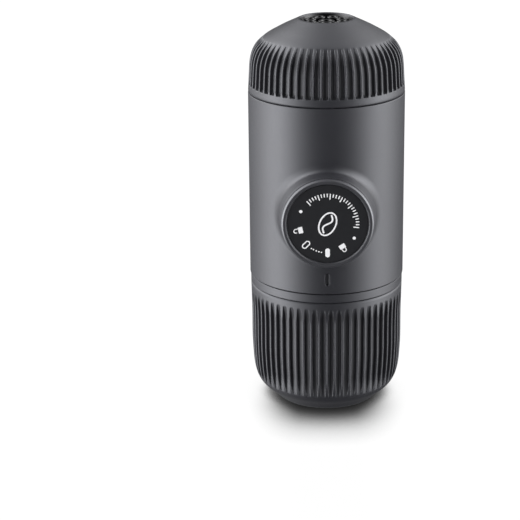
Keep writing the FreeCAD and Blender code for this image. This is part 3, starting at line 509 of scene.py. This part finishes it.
# Printed marks on the dial, a hair above its face.
class Print:
    def __init__(self):
        self.verts, self.faces = [], []

    def slab(self, loop, holes=None, low=39.2, high=39.285):
        """Flat mark from one outline, or a band between an outline and an inner one of as many points."""
        n = len(loop)
        base = len(self.verts)
        if holes is None:
            for d in (low, high):
                self.verts += [(x, -d, KNOB_Z + z) for x, z in loop]
            self.faces.append([base + i for i in range(n)])
            self.faces.append([base + n + i for i in range(n)][::-1])
            for i in range(n):
                k = (i + 1) % n
                self.faces.append([base + i, base + k, base + n + k, base + n + i])
            return
        for outline in (loop, holes):
            for d in (low, high):
                self.verts += [(x, -d, KNOB_Z + z) for x, z in outline]
        o0, o1, i0, i1 = base, base + n, base + 2 * n, base + 3 * n
        for i in range(n):
            k = (i + 1) % n
            self.faces += [
                [o0 + i, o0 + k, o1 + k, o1 + i], [i0 + i, i0 + k, i1 + k, i1 + i],
                [o1 + i, o1 + k, i1 + k, i1 + i], [o0 + i, o0 + k, i0 + k, i0 + i]]

    @staticmethod
    def turned(loop, r, deg):
        """Outline drawn about (0, 0) with +z outwards, moved to radius r at angle deg."""
        f = math.radians(deg)
        out = []
        for x, z in loop:
            ux, uz = math.cos(f), math.sin(f)
            out.append(((r + z) * ux + x * uz, (r + z) * uz - x * ux))
        return out

    @staticmethod
    def stadium(width, tall, n=24):
        half, run = width / 2, (tall - width) / 2
        out = []
        for k in range(n):
            f = 2 * math.pi * (k + 0.5) / n
            out.append((half * math.cos(f), half * math.sin(f) + (run if math.sin(f) > 0 else -run)))
        return out

    @staticmethod
    def box(x0, z0, x1, z1, r=0.12):
        out = []
        for cx, cz, a in ((x1 - r, z1 - r, 0), (x0 + r, z1 - r, 90), (x0 + r, z0 + r, 180), (x1 - r, z0 + r, 270)):
            for k in range(5):
                f = math.radians(a + 90 * k / 4)
                out.append((cx + r * math.cos(f), cz + r * math.sin(f)))
        return out

    def stroke(self, pts, width, place=None):
        """Line of constant width through the points, with round ends."""
        p = np.array(pts, float)
        t = np.gradient(p, axis=0)
        t /= np.linalg.norm(t, axis=1)[:, None]
        n = np.stack([-t[:, 1], t[:, 0]], 1)
        left, right = p + n * width / 2, p - n * width / 2
        h = width / 2

        def cap(c, d, m):
            return [tuple(c + h * (math.cos(f) * m + math.sin(f) * d)) for f in np.linspace(0, math.pi, 7)[1:-1]]

        loop = [tuple(x) for x in left] + cap(p[-1], t[-1], n[-1]) + [tuple(x) for x in right[::-1]] + cap(p[0], -t[0], -n[0])
        self.slab(place(loop) if place else loop)


white = Print()
white.slab(white.turned(white.stadium(1.75, 3.6), 11.5, 270))
outline = white.stadium(2.1, 3.7, 36), white.stadium(1.2, 2.8, 36)
white.slab(white.turned(outline[0], 11.6, 225), white.turned(outline[1], 11.6, 225))
for deg in (237.5, 242.2, 247.8, 253.1, 258.2):
    white.slab(white.turned(white.stadium(0.56, 0.561, 16), 11.5, deg))
for r, deg in ((11.35, 153.6), (11.57, -29.0)):
    white.slab(white.turned(white.stadium(1.24, 1.241, 24), r, deg))


def padlock(deg, shut):
    """Plain padlock: a body with a keyhole and a bow, the bow swung off one side where it is open."""
    def at(loop):
        return white.turned([(x, z - 0.1) for x, z in loop], 11.35, deg)

    def ring_of(loop, n=40):
        p = np.array(loop + loop[:1])
        s = np.concatenate([[0], np.cumsum(np.linalg.norm(np.diff(p, axis=0), axis=1))])
        q = np.linspace(0, s[-1], n, endpoint=False)
        return list(zip(np.interp(q, s, p[:, 0]), np.interp(q, s, p[:, 1])))

    white.slab(at(white.box(-1.25, -1.55, 1.25, 0.2, 0.22)))
    bow = [(0.72 * math.cos(f), 0.85 + 0.72 * math.sin(f)) for f in np.linspace(0, math.pi, 13)]
    if shut:
        pts = [(0.72, 0.15)] + bow + [(-0.72, 0.15)]
    else:
        pts = [(0.72, 0.15), (0.72, 0.6)] + [(x, z + 0.35) for x, z in bow] + [(-0.72, 0.95)]
    white.stroke(pts, 0.36, at)


padlock(302, True)
padlock(193, False)

# Plain scale in the upper arc, and a bean outline with its crease in the middle.
for k in range(25):
    deg = 131 - k * 138 / 24
    tall = 2.3 if k % 4 == 0 else 1.45
    white.slab(white.turned(white.stadium(0.42, tall, 14), 12.1 - tall / 2, deg))


def bean(grow, n=72):
    tilt = math.radians(-24)
    out = []
    for k in range(n):
        f = 2 * math.pi * k / n
        x, z = (3.35 + grow) * math.cos(f), (5.0 + grow) * math.sin(f)
        out.append((x * math.cos(tilt) - z * math.sin(tilt), x * math.sin(tilt) + z * math.cos(tilt)))
    return out


white.slab(bean(0.0), bean(-0.6))
tilt = math.radians(-24)
crease = []
for t in np.linspace(-1, 1, 25):
    x, z = 1.1 * math.sin(math.pi * t), 3.7 * t
    crease.append((x * math.cos(tilt) - z * math.sin(tilt), x * math.sin(tilt) + z * math.cos(tilt)))
white.stroke(crease, 0.62)
marks = build("knob_print", white.verts, white.faces, weld=1e-9, sharp=40)

# Spout insert: socket collar, floor with eight raised loops, and the channel mouth.
spout_parts = []
spout_profile = rounded(
    [(2.0, 150.6), (4.7, 150.6), (4.7, 142.6), (6.4, 142.6), (6.4, 150.6), (12.3, 150.6, 0.15), (12.3, 152.0, 0.15),
     (10.25, 152.0, 0.1), (10.25, 155.35, 0.12), (9.9, 155.5, 0.15), (9.3, 153.3, 0.4), (3.5, 153.1, 0.3), (3.15, 154.7, 0.25),
     (2.2, 154.7, 0.2), (2.0, 154.4)], steps=6)
spout_parts.append(lathe("spout_insert", spout_profile, 192))
for k in range(8):
    f = math.pi / 4 * (k + 0.5)
    cx, cy = 6.6 * math.cos(f), 6.6 * math.sin(f)
    prof = rounded([(1.25, 152.7), (2.2, 152.7), (2.2, 155.1, 0.45), (1.25, 155.1, 0.45)], steps=7)
    a = np.linspace(0, 2 * math.pi, 48, endpoint=False)
    rows = [np.stack([cx + r * np.cos(a), cy + r * np.sin(a), z + 0 * a], -1) for r, z in prof]
    spout_parts.append(build("loop_%d" % k, np.concatenate(rows), ring_faces(len(rows), 48, True)))


def join(objs, name):
    """One object from several, without operators."""
    bm = bmesh.new()
    for o in objs:
        bm.from_mesh(o.data)
    mesh = bpy.data.meshes.new(name)
    bm.to_mesh(mesh)
    bm.free()
    mesh.shade_smooth()
    for o in objs:
        bpy.data.objects.remove(o)
    obj = bpy.data.objects.new(name, mesh)
    bpy.context.scene.collection.objects.link(obj)
    return obj


spout = weighted(join(spout_parts, "spout_insert_piece"))

# ------------------------------------------------------------------- springs


def coil(name, mean, wire, length, turns, flat, at):
    """Compression spring with closed end turns, as one wire."""
    pts = []
    total = turns + 2 * flat
    for k in range(int(total * 40) + 1):
        t = k / 40
        lead = min(t, flat) * wire * 2.0 + max(0.0, min(t - flat, turns)) * (length - 2 * wire - 4 * flat * wire) / turns
        lead += max(0.0, t - flat - turns) * wire * 2.0
        pts.append(at(mean, wire + lead, 2 * math.pi * t))
    return tube(name, pts, wire)


piston_coil = coil(
    "return_spring", 12.3, 0.6, 13.3, 4.0, 0.85,
    lambda r, d, a: (r * math.cos(a), -(21.1 + d), KNOB_Z + r * math.sin(a)))
lo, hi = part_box("outlet_spring")
spring_axis = ((lo[0] + hi[0]) / 2 / MM, (lo[1] + hi[1]) / 2 / MM)
spring_r = (hi[0] - lo[0]) / 2 / MM
valve_coil = coil(
    "valve_spring", spring_r - 0.25, 0.25, (hi[2] - lo[2]) / MM, 3.5, 0.8,
    lambda r, d, a: (spring_axis[0] + r * math.cos(a), spring_axis[1] + r * math.sin(a), lo[2] / MM + d))

# ----------------------------------------------------------------- materials


def material(name):
    m = bpy.data.materials.new(name)
    m.use_nodes = True
    t = m.node_tree
    return m, t, t.nodes["Principled BSDF"]


def noise(t, scale, detail=3.0, stretch=None, rough=0.5):
    """Noise in object space; stretch scales its axes."""
    coord = t.nodes.new("ShaderNodeTexCoord")
    n = t.nodes.new("ShaderNodeTexNoise")
    n.inputs["Scale"].default_value = scale
    n.inputs["Detail"].default_value = detail
    n.inputs["Roughness"].default_value = rough
    if stretch:
        m = t.nodes.new("ShaderNodeMapping")
        m.inputs["Scale"].default_value = stretch
        t.links.new(coord.outputs["Object"], m.inputs["Vector"])
        t.links.new(m.outputs["Vector"], n.inputs["Vector"])
    else:
        t.links.new(coord.outputs["Object"], n.inputs["Vector"])
    return n


def ramp(t, source, lo, hi, a=0.3, b=0.7):
    """Maps a noise onto the range lo to hi."""
    m = t.nodes.new("ShaderNodeMapRange")
    m.inputs["From Min"].default_value = a
    m.inputs["From Max"].default_value = b
    m.inputs["To Min"].default_value = lo
    m.inputs["To Max"].default_value = hi
    t.links.new(source.outputs["Fac"], m.inputs["Value"])
    return m


def tint(t, source, dark, light, socket, a=0.3, b=0.7):
    r = t.nodes.new("ShaderNodeValToRGB")
    r.color_ramp.elements[0].position, r.color_ramp.elements[1].position = a, b
    r.color_ramp.elements[0].color = (*dark, 1)
    r.color_ramp.elements[1].color = (*light, 1)
    t.links.new(source.outputs["Fac"], r.inputs["Fac"])
    t.links.new(r.outputs["Color"], socket)
    return r


def bump(t, source, target, depth, strength=1.0, under=None):
    b = t.nodes.new("ShaderNodeBump")
    b.inputs["Distance"].default_value = depth * MM
    b.inputs["Strength"].default_value = strength
    t.links.new(source.outputs["Fac"] if "Fac" in source.outputs else source.outputs[0], b.inputs["Height"])
    if under:
        t.links.new(under.outputs["Normal"], b.inputs["Normal"])
    t.links.new(b.outputs["Normal"], target.inputs["Normal"])
    return b


def moulded(name, colour, rough, grain=0.012, spread=0.06, ior=1.5, coat=0.0, specular=0.5, cast=(1.0, 1.0, 1.0)):
    """Moulded plastic: spark-eroded grain, slow drift of shade and gloss, and a faint cast in its reflections."""
    m, t, p = material(name)
    c = np.array(colour)
    slow = noise(t, 55.0, 2.0)
    tint(t, slow, tuple(c * (1 - spread)), tuple(c * (1 + spread)), p.inputs["Base Color"])
    fine = noise(t, 5200.0, 4.0, rough=0.62)
    mid = noise(t, 900.0, 2.0)
    r = ramp(t, mid, rough - 0.025, rough + 0.025)
    t.links.new(r.outputs["Result"], p.inputs["Roughness"])
    one = bump(t, mid, p, grain * 0.6, 0.5)
    bump(t, fine, p, grain, 0.7, one)
    p.inputs["IOR"].default_value = ior
    p.inputs["Specular IOR Level"].default_value = specular
    p.inputs["Specular Tint"].default_value = (*cast, 1.0)
    p.inputs["Coat Weight"].default_value = coat
    return m


def metal(name, colour, rough, stretch):
    """Brushed or drawn steel."""
    m, t, p = material(name)
    c = np.array(colour)
    lines = noise(t, 700.0, 4.0, stretch)
    tint(t, lines, tuple(c * 0.82), tuple(c), p.inputs["Base Color"])
    r = ramp(t, lines, rough - 0.06, rough + 0.06)
    t.links.new(r.outputs["Result"], p.inputs["Roughness"])
    bump(t, lines, p, 0.008, 0.5)
    p.inputs["Metallic"].default_value = 1.0
    return m


COOL = (0.945, 0.953, 1.0)
shell_grey = moulded("shell_grey", (0.0201, 0.0203, 0.0238), 0.36, 0.010, cast=COOL)
ring_grey = moulded("ring_grey", (0.030, 0.0304, 0.0345), 0.33, 0.006, specular=0.95, cast=COOL)
frame_black = moulded("frame_black", (0.010, 0.010, 0.0105), 0.42, 0.012)
dial_black = moulded("dial_black", (0.0084, 0.0085, 0.0098), 0.40, 0.006, cast=COOL)
gloss_black = moulded("gloss_black", (0.005, 0.005, 0.0055), 0.14, 0.002, specular=0.32)
piston_grey = moulded("piston_grey", (0.19, 0.19, 0.20), 0.38, 0.008)
print_white = moulded("print_white", (0.78, 0.78, 0.79), 0.45, 0.004, 0.03)
rubber = moulded("black_silicone", (0.016, 0.016, 0.017), 0.55, 0.008, 0.1)
steel = metal("brushed_steel", (0.64, 0.64, 0.65), 0.24, (1, 1, 14))
wire_steel = metal("drawn_steel", (0.60, 0.60, 0.61), 0.2, (1, 1, 1))

tank_smoke, _t, _p = material("smoked_tank")
_slow = noise(_t, 60.0, 2.0)
tint(_t, _slow, (0.23, 0.23, 0.245), (0.27, 0.27, 0.285), _p.inputs["Base Color"])
_mid = noise(_t, 500.0, 3.0)
_r = ramp(_t, _mid, 0.08, 0.14)
_t.links.new(_r.outputs["Result"], _p.inputs["Roughness"])
bump(_t, _mid, _p, 0.006, 0.4)
_p.inputs["Transmission Weight"].default_value = 0.85
_p.inputs["IOR"].default_value = 1.49


def paint(obj, mat):
    obj.data.materials.clear()
    obj.data.materials.append(mat)


for obj, mat, slot, ride, nodes in (
    (head, shell_grey, "shell_grey", "head", ["outlet_head"]),
    (cup, shell_grey, "shell_grey", "cup", ["cup"]),
    (ring, shell_grey, "shell_grey", "tank", ["tank_grip_ring"]),
    (body, shell_grey, "shell_grey", "main_body", ["body_shell"]),
    (rim, ring_grey, "shell_grey", "knob", ["knob_ring"]),
    (dial, dial_black, "gloss_black", "knob", ["knob_disc"]),
    (marks, print_white, None, "knob", []),
    (spout, gloss_black, "gloss_black", "head", ["spout"]),
):
    paint(obj, mat)
    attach(obj, ride)
    if nodes:
        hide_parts(*nodes)

for obj, node in ((piston_coil, "piston_spring"), (valve_coil, "outlet_spring")):
    paint(obj, wire_steel)
    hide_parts(node)
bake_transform(piston_coil)
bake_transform(valve_coil)

by_node = {
    "tank_socket": frame_black, "brew_chamber": frame_black, "pump_housing": frame_black, "lock_collar": frame_black,
    "knob_core": frame_black, "portafilter": frame_black, "outlet_retainer": frame_black, "inlet_seat": frame_black,
    "water_tank": tank_smoke, "tank_gasket": rubber, "port_seals": rubber, "vent_valve": rubber, "basket_seal": rubber,
    "piston_seals": rubber, "head_gasket": rubber, "inlet_ball": steel, "outlet_ball": steel, "lower_screws": steel,
    "upper_screws": steel, "knob_screw": steel, "filter_basket": steel, "outlet_filter": steel, "inlet_strainer": steel,
    "piston_rod": piston_grey,
}
for node, mat in by_node.items():
    paint(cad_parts[node], mat)

# ------------------------------------------------------- floor, light, camera

floor_mesh = bpy.data.meshes.new("floor")
floor_mesh.from_pydata([(-6, -6, 0), (6, -6, 0), (6, 6, 0), (-6, 6, 0)], [], [(0, 1, 2, 3)])
floor = bpy.data.objects.new("floor", floor_mesh)
bpy.context.scene.collection.objects.link(floor)
floor.location.z = -0.00005
# Floor: an even white glow that ambient occlusion darkens near the object. The darkening is a painted contact shadow,
# not a shadow cast by the lamps.
fm, ft, fp = material("floor_painted_shadow")
ft.nodes.remove(fp)
contact_shadow_ao = ft.nodes.new("ShaderNodeAmbientOcclusion")
contact_shadow_ao.inputs["Distance"].default_value = 0.030
contact_shadow_ao.samples = 16


# Colour ramp from the occlusion to the floor's glow: the painted contact shadow.
def shade(stops):
    r = ft.nodes.new("ShaderNodeValToRGB")
    elements = r.color_ramp.elements
    elements[0].position, elements[-1].position = stops[0][0], stops[-1][0]
    for e, (_, v) in zip((elements[0], elements[-1]), (stops[0], stops[-1])):
        e.color = (v, v, v, 1)
    for position, v in stops[1:-1]:
        elements.new(position).color = (v, v, v, 1)
    ft.links.new(contact_shadow_ao.outputs["AO"], r.inputs["Fac"])
    return r


# Painted shadow ahead of the object: long and dark. It also stands in for the object's dark reflection in the floor.
front = shade(((0.0, 0.012), (0.14, 0.017), (0.29, 0.037), (0.45, 0.085), (0.57, 0.173), (0.645, 0.30), (0.715, 0.465), (0.76, 0.586),
               (0.80, 0.694), (0.85, 0.785), (0.90, 0.86), (1.0, 1.0)))
# Painted shadow beside the object: short and tight.
beside = shade(((0.0, 0.012), (0.20, 0.06), (0.32, 0.28), (0.41, 0.66), (0.48, 0.86), (0.55, 0.96), (0.65, 1.0), (1.0, 1.05)))
spread = ft.nodes.new("ShaderNodeTexCoord")
part = ft.nodes.new("ShaderNodeSeparateXYZ")
ft.links.new(spread.outputs["Object"], part.inputs["Vector"])


def ease(source, low, high):
    m = ft.nodes.new("ShaderNodeMapRange")
    m.interpolation_type = "SMOOTHSTEP"
    m.inputs["From Min"].default_value, m.inputs["From Max"].default_value = low, high
    ft.links.new(source, m.inputs["Value"])
    return m.outputs["Result"]


# Weight of the painted front shadow: 1 in a band ahead of the object, 0 beside and behind it.
across = ft.nodes.new("ShaderNodeMath")
across.operation = "ABSOLUTE"
ft.links.new(part.outputs["X"], across.inputs[0])
front_shadow_weight = ft.nodes.new("ShaderNodeMath")
front_shadow_weight.operation = "MULTIPLY"
ft.links.new(ease(part.outputs["Y"], 0.002, -0.020), front_shadow_weight.inputs[0])
ft.links.new(ease(across.outputs[0], 0.034, 0.010), front_shadow_weight.inputs[1])
both = ft.nodes.new("ShaderNodeMix")
both.data_type = "RGBA"
ft.links.new(front_shadow_weight.outputs[0], both.inputs["Factor"])
ft.links.new(beside.outputs["Color"], both.inputs["A"])
ft.links.new(front.outputs["Color"], both.inputs["B"])
# The floor's glow carries the painted shadow. It is emission, not lit by the lamps.
glow_with_painted_shadow = ft.nodes.new("ShaderNodeEmission")
ft.links.new(both.outputs["Result"], glow_with_painted_shadow.inputs["Color"])
ft.links.new(glow_with_painted_shadow.outputs["Emission"], ft.nodes["Material Output"].inputs["Surface"])
paint(floor, fm)
floor.visible_glossy = False
floor.visible_diffuse = False
floor.visible_shadow = False

# Studio: two tall soft boxes, one each side, reaching up and a little behind
# the object, before a dark room; the backdrop is white.  Each soft spot is
# (azimuth from the front, elevation, brightness).
SOFT_SPOTS = (
    (-80, -12, 5.4), (-60, -12, 2.8), (60, -12, 0.85), (80, -12, 3.6),
    (-120, 16, 2.0), (-80, 16, 0.5), (80, 16, 2.7), (100, 16, 2.8), (140, 16, 0.5),
    (-120, 46, 2.6), (-100, 46, 1.8), (120, 46, 2.3), (-160, -40, 0.2), (-98, 31, 2.6), (100, 31, 1.3),
)
world = bpy.data.worlds.new("studio")
bpy.context.scene.world = world
world.use_nodes = True
wt = world.node_tree
wt.nodes.clear()
out = wt.nodes.new("ShaderNodeOutputWorld")
mix = wt.nodes.new("ShaderNodeMixShader")
seen = wt.nodes.new("ShaderNodeBackground")
seen.inputs["Color"].default_value = (1, 1, 1, 1)
seen.inputs["Strength"].default_value = 1.2
room = wt.nodes.new("ShaderNodeBackground")
room.inputs["Color"].default_value = (0.985, 0.99, 1.0, 1)
where = wt.nodes.new("ShaderNodeTexCoord")
unit = wt.nodes.new("ShaderNodeVectorMath")
unit.operation = "NORMALIZE"
wt.links.new(where.outputs["Generated"], unit.inputs[0])


def maths(operation, first, second=None):
    n = wt.nodes.new("ShaderNodeMath")
    n.operation = operation
    for i, v in enumerate((first, second)):
        if v is None:
            continue
        if isinstance(v, (int, float)):
            n.inputs[i].default_value = v
        else:
            wt.links.new(v, n.inputs[i])
    return n.outputs[0]


total = 0.004
for azimuth, elevation, bright in SOFT_SPOTS:
    az, el = math.radians(azimuth), math.radians(elevation)
    dot = wt.nodes.new("ShaderNodeVectorMath")
    dot.operation = "DOT_PRODUCT"
    wt.links.new(unit.outputs[0], dot.inputs[0])
    dot.inputs[1].default_value = (math.sin(az) * math.cos(el), -math.cos(az) * math.cos(el), math.sin(el))
    spot = maths("MULTIPLY", maths("EXPONENT", maths("MULTIPLY", maths("SUBTRACT", dot.outputs["Value"], 1.0), 9.0)), bright)
    total = maths("ADD", total, spot)
wt.links.new(total, room.inputs["Strength"])
path = wt.nodes.new("ShaderNodeLightPath")
wt.links.new(path.outputs["Is Camera Ray"], mix.inputs["Fac"])
wt.links.new(room.outputs["Background"], mix.inputs[1])
wt.links.new(seen.outputs["Background"], mix.inputs[2])
wt.links.new(mix.outputs["Shader"], out.inputs["Surface"])

bpy.context.scene.view_settings.view_transform = "Standard"
bpy.context.scene.view_settings.look = "None"
bpy.context.scene.view_settings.exposure = 0.0
bpy.context.scene.view_settings.gamma = 1.0

cam_data = bpy.data.cameras.new("camera")
cam_data.sensor_width = 36.0
cam_data.sensor_fit = "HORIZONTAL"
cam_data.lens = 125.352
cam_data.clip_start, cam_data.clip_end = 0.01, 50
cam = bpy.data.objects.new("camera", cam_data)
bpy.context.scene.collection.objects.link(cam)
turn = Matrix((
    (0.999678590, 0.003775230, 0.025069176, 0.0),
    (0.022503634, 0.323237787, -0.946050167, 0.0),
    (-0.011674862, 0.946310245, 0.323048939, 0.0),
    (0.0, 0.0, 0.0, 1.0)))
cam.matrix_world = Matrix.Translation((-0.0084835, -0.6943482, 0.293830)) @ turn
bpy.context.scene.camera = cam
